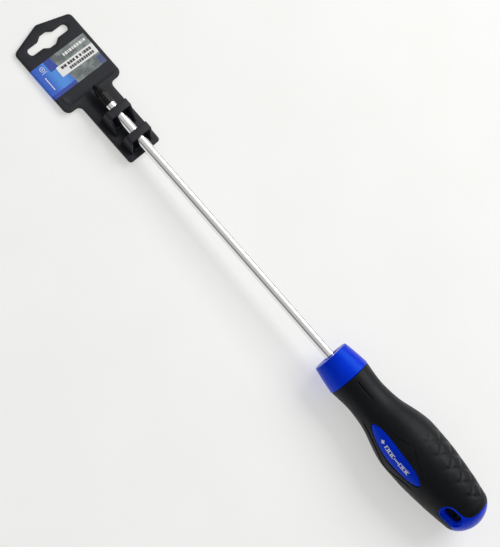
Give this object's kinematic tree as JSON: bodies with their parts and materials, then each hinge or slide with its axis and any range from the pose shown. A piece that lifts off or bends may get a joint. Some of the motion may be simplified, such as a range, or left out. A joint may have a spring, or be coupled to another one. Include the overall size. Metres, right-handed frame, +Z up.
{
  "type": "screwdriver",
  "caption": "Cross-point screwdriver with a long round chromed blade and a blue and black soft-grip handle, clipped in its retail hanger.",
  "frame": {"origin": "centre of the bounding box, on the surface the tool lies on", "axes": "+X from the tip to the butt, +Z up; the tool lies on its palm and on the far end of its hanger, so its centre line climbs about 2 degrees towards the butt"},
  "size_m": [0.3717, 0.042, 0.0372],
  "materials": {
    "blade_steel": "bright chrome, black oxide on the tip",
    "core_plastic": "moulded",
    "blue_plastic": "satin moulded",
    "grip_rubber": "fine matte texture",
    "hanger_plastic": "satin moulded",
    "label_film": "printed, semi-gloss",
    "sticker_paper": "white, semi-gloss"
  },
  "bodies": {
    "driver": {"blade": "blade_steel", "tang_core": "core_plastic", "handle_body": "blue_plastic", "grip": "grip_rubber"},
    "hanger": {"hanger": "hanger_plastic", "label": "label_film", "size_sticker": "sticker_paper"}
  },
  "joints": [
    {"name": "hanger_slide", "type": "slide", "parent": "driver", "child": "hanger", "axis": [-0.9994, 0, -0.0357], "range_m": [-0.152, 0.046]}
  ]
}
